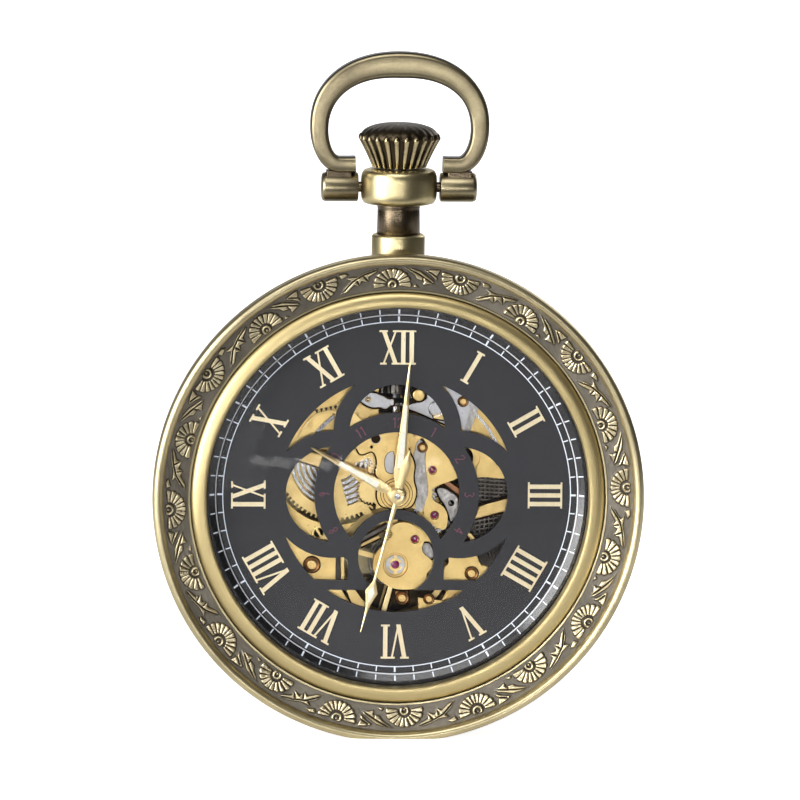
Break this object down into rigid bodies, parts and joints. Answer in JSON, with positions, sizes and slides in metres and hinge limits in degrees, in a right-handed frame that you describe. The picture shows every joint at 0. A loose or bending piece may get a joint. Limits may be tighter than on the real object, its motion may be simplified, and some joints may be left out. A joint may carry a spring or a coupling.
{
  "type": "pocket watch",
  "caption": "Open-faced skeleton pocket watch with a swinging bow, pull-out winding crown, Roman dial and a working gear train behind see-through windows.",
  "frame": {"origin": "middle of the flat outer face of the back cover, on the axis of the hands", "axes": "-Y out of the dial, +Y out of the back, +Z from the dial's centre to the pendant and bow, +X to the right as seen from the dial side"},
  "size_m": [0.047, 0.0129, 0.0659],
  "materials": {
    "case_brass": "brushed antique brass, darkened in recesses",
    "ring_brass": "circularly brushed brass",
    "neck_bronze": "dark oxidised bronze",
    "dial_black": "satin charcoal",
    "rehaut_black": "gloss black",
    "numeral_gold": "polished gold colour",
    "hand_gold": "polished gold colour",
    "movement_gold": "fine-grained gilt brass",
    "wheel_gold": "polished gilt brass",
    "steel": "brushed steel",
    "dark_steel": "dark steel",
    "spring_steel": "polished spring steel",
    "ruby": "polished synthetic ruby",
    "crystal": "clear mineral glass",
    "gasket": "black",
    "holder": "matte black"
  },
  "bodies": {
    "root": {"mid_case": "case_brass", "front_bezel": "case_brass", "crystal_ring": "ring_brass", "crystal": "crystal", "crystal_gasket": "gasket", "rehaut": "rehaut_black", "back_cover": "case_brass", "pendant_sleeve": "case_brass", "pendant_neck": "neck_bronze", "bow_collar": "case_brass", "bow_pivot_pins": "case_brass", "yoke_spring": "spring_steel", "keyless_cover": "movement_gold", "movement_ring": "holder", "movement_screws": "steel", "dial": "dial_black", "dial_numerals": "numeral_gold", "main_plate": "movement_gold", "barrel_bridge": "movement_gold", "train_bridge": "movement_gold", "balance_cock": "movement_gold", "pallet_bridge": "movement_gold", "bridge_screws": "wheel_gold", "jewels": "ruby", "shock_setting": "steel", "click_spring": "spring_steel", "hairspring": "spring_steel", "regulator": "steel"},
    "bow": {"bow": "case_brass"},
    "winding_pinion": {"winding_pinion": "dark_steel"},
    "crown": {"crown": "case_brass", "stem": "steel"},
    "clutch": {"clutch": "dark_steel"},
    "setting_lever": {"setting_lever": "steel"},
    "yoke": {"yoke": "steel"},
    "setting_wheel": {"setting_wheel": "wheel_gold"},
    "setting_idler": {"setting_idler": "wheel_gold"},
    "minute_wheel": {"minute_wheel": "wheel_gold"},
    "minute": {"center_wheel": "wheel_gold", "cannon_pinion": "steel", "minute_hand": "hand_gold"},
    "hour": {"hour_wheel": "wheel_gold", "hour_hand": "hand_gold"},
    "seconds": {"fourth_wheel": "wheel_gold", "second_hand": "hand_gold"},
    "third_wheel": {"third_wheel": "wheel_gold"},
    "escape_wheel": {"escape_wheel": "steel"},
    "barrel": {"barrel": "wheel_gold", "mainspring": "spring_steel"},
    "ratchet": {"barrel_arbor": "steel", "ratchet_wheel": "steel"},
    "crown_wheel": {"crown_wheel": "steel"},
    "click": {"click": "steel"},
    "pallet_fork": {"pallet_fork": "steel"},
    "balance": {"balance_wheel": "wheel_gold", "balance_staff": "steel"}
  },
  "joints": [
    {"name": "bow_swing", "type": "hinge", "parent": "root", "child": "bow", "pos_m": [0, -0.006, 0.0294], "axis": [1, 0, 0], "range_deg": [-120, 120]},
    {"name": "crown_turn", "type": "hinge", "parent": "root", "child": "winding_pinion", "pos_m": [0, -0.006, 0.01], "axis": [0, 0, 1], "continuous": true},
    {"name": "crown_pull", "type": "slide", "parent": "winding_pinion", "child": "crown", "axis": [0, 0, 1], "range_m": [0, 0.0008]},
    {"name": "clutch_slide", "type": "slide", "parent": "winding_pinion", "child": "clutch", "axis": [0, 0, 1], "range_m": [-0.0005, 0]},
    {"name": "setting_lever_turn", "type": "hinge", "parent": "root", "child": "setting_lever", "pos_m": [-0.0028, -0.0075, 0.0091], "axis": [0, 1, 0], "range_deg": [-19, 0]},
    {"name": "yoke_turn", "type": "hinge", "parent": "root", "child": "yoke", "pos_m": [0.00365, -0.0075, 0.00825], "axis": [0, 1, 0], "range_deg": [-10, 0]},
    {"name": "seconds_turn", "type": "hinge", "parent": "root", "child": "seconds", "pos_m": [0, -0.009, 0], "axis": [0, 1, 0], "continuous": true},
    {"name": "minute_turn", "type": "hinge", "parent": "root", "child": "minute", "pos_m": [0, -0.009, 0], "axis": [0, 1, 0], "continuous": true},
    {"name": "hour_turn", "type": "hinge", "parent": "root", "child": "hour", "pos_m": [0, -0.009, 0], "axis": [0, 1, 0], "continuous": true},
    {"name": "minute_wheel_turn", "type": "hinge", "parent": "root", "child": "minute_wheel", "pos_m": [-0.00018, -0.0075, 0.00209], "axis": [0, 1, 0], "continuous": true},
    {"name": "idler_turn", "type": "hinge", "parent": "root", "child": "setting_idler", "pos_m": [0, -0.0075, 0.0048], "axis": [0, 1, 0], "continuous": true},
    {"name": "setting_wheel_turn", "type": "hinge", "parent": "root", "child": "setting_wheel", "pos_m": [0, -0.0075, 0.0069], "axis": [0, 1, 0], "continuous": true},
    {"name": "third_turn", "type": "hinge", "parent": "root", "child": "third_wheel", "pos_m": [0.00344, -0.006, 0.00229], "axis": [0, 1, 0], "continuous": true},
    {"name": "escape_turn", "type": "hinge", "parent": "root", "child": "escape_wheel", "pos_m": [0.00371, -0.006, -0.00209], "axis": [0, 1, 0], "continuous": true},
    {"name": "barrel_turn", "type": "hinge", "parent": "root", "child": "barrel", "pos_m": [-0.00577, -0.006, 0.00298], "axis": [0, 1, 0], "continuous": true},
    {"name": "crown_wheel_turn", "type": "hinge", "parent": "root", "child": "crown_wheel", "pos_m": [0, -0.006, 0.00652], "axis": [0, 1, 0], "continuous": true},
    {"name": "ratchet_turn", "type": "hinge", "parent": "root", "child": "ratchet", "pos_m": [-0.00577, -0.006, 0.00298], "axis": [0, 1, 0], "continuous": true},
    {"name": "click_turn", "type": "hinge", "parent": "root", "child": "click", "pos_m": [-0.01015, -0.0044, 0.0052], "axis": [0, 1, 0], "range_deg": [0, 6]},
    {"name": "pallet_swing", "type": "hinge", "parent": "root", "child": "pallet_fork", "pos_m": [0.00185, -0.006, -0.00442], "axis": [0, 1, 0], "range_deg": [-5, 5]},
    {"name": "balance_swing", "type": "hinge", "parent": "root", "child": "balance", "pos_m": [0, -0.006, -0.00695], "axis": [0, 1, 0], "range_deg": [-140, 140], "stiffness_Nm_per_rad": 0.000001}
  ],
  "couplings": [
    {"joint": "minute_turn", "follows": "seconds_turn", "ratio": 0.016667},
    {"joint": "hour_turn", "follows": "seconds_turn", "ratio": 0.0013889},
    {"joint": "minute_wheel_turn", "follows": "seconds_turn", "ratio": -0.0055556},
    {"joint": "idler_turn", "follows": "seconds_turn", "ratio": 0.0076923},
    {"joint": "setting_wheel_turn", "follows": "seconds_turn", "ratio": -0.0090909},
    {"joint": "third_turn", "follows": "seconds_turn", "ratio": -0.125},
    {"joint": "escape_turn", "follows": "seconds_turn", "ratio": -10},
    {"joint": "barrel_turn", "follows": "seconds_turn", "ratio": -0.002193},
    {"joint": "crown_wheel_turn", "follows": "crown_turn", "ratio": -0.33333},
    {"joint": "ratchet_turn", "follows": "crown_turn", "ratio": 0.33333},
    {"joint": "clutch_slide", "follows": "crown_pull", "ratio": -0.625},
    {"joint": "setting_lever_turn", "follows": "crown_pull", "rad_per_m": -392.7},
    {"joint": "yoke_turn", "follows": "crown_pull", "rad_per_m": -196.35}
  ]
}
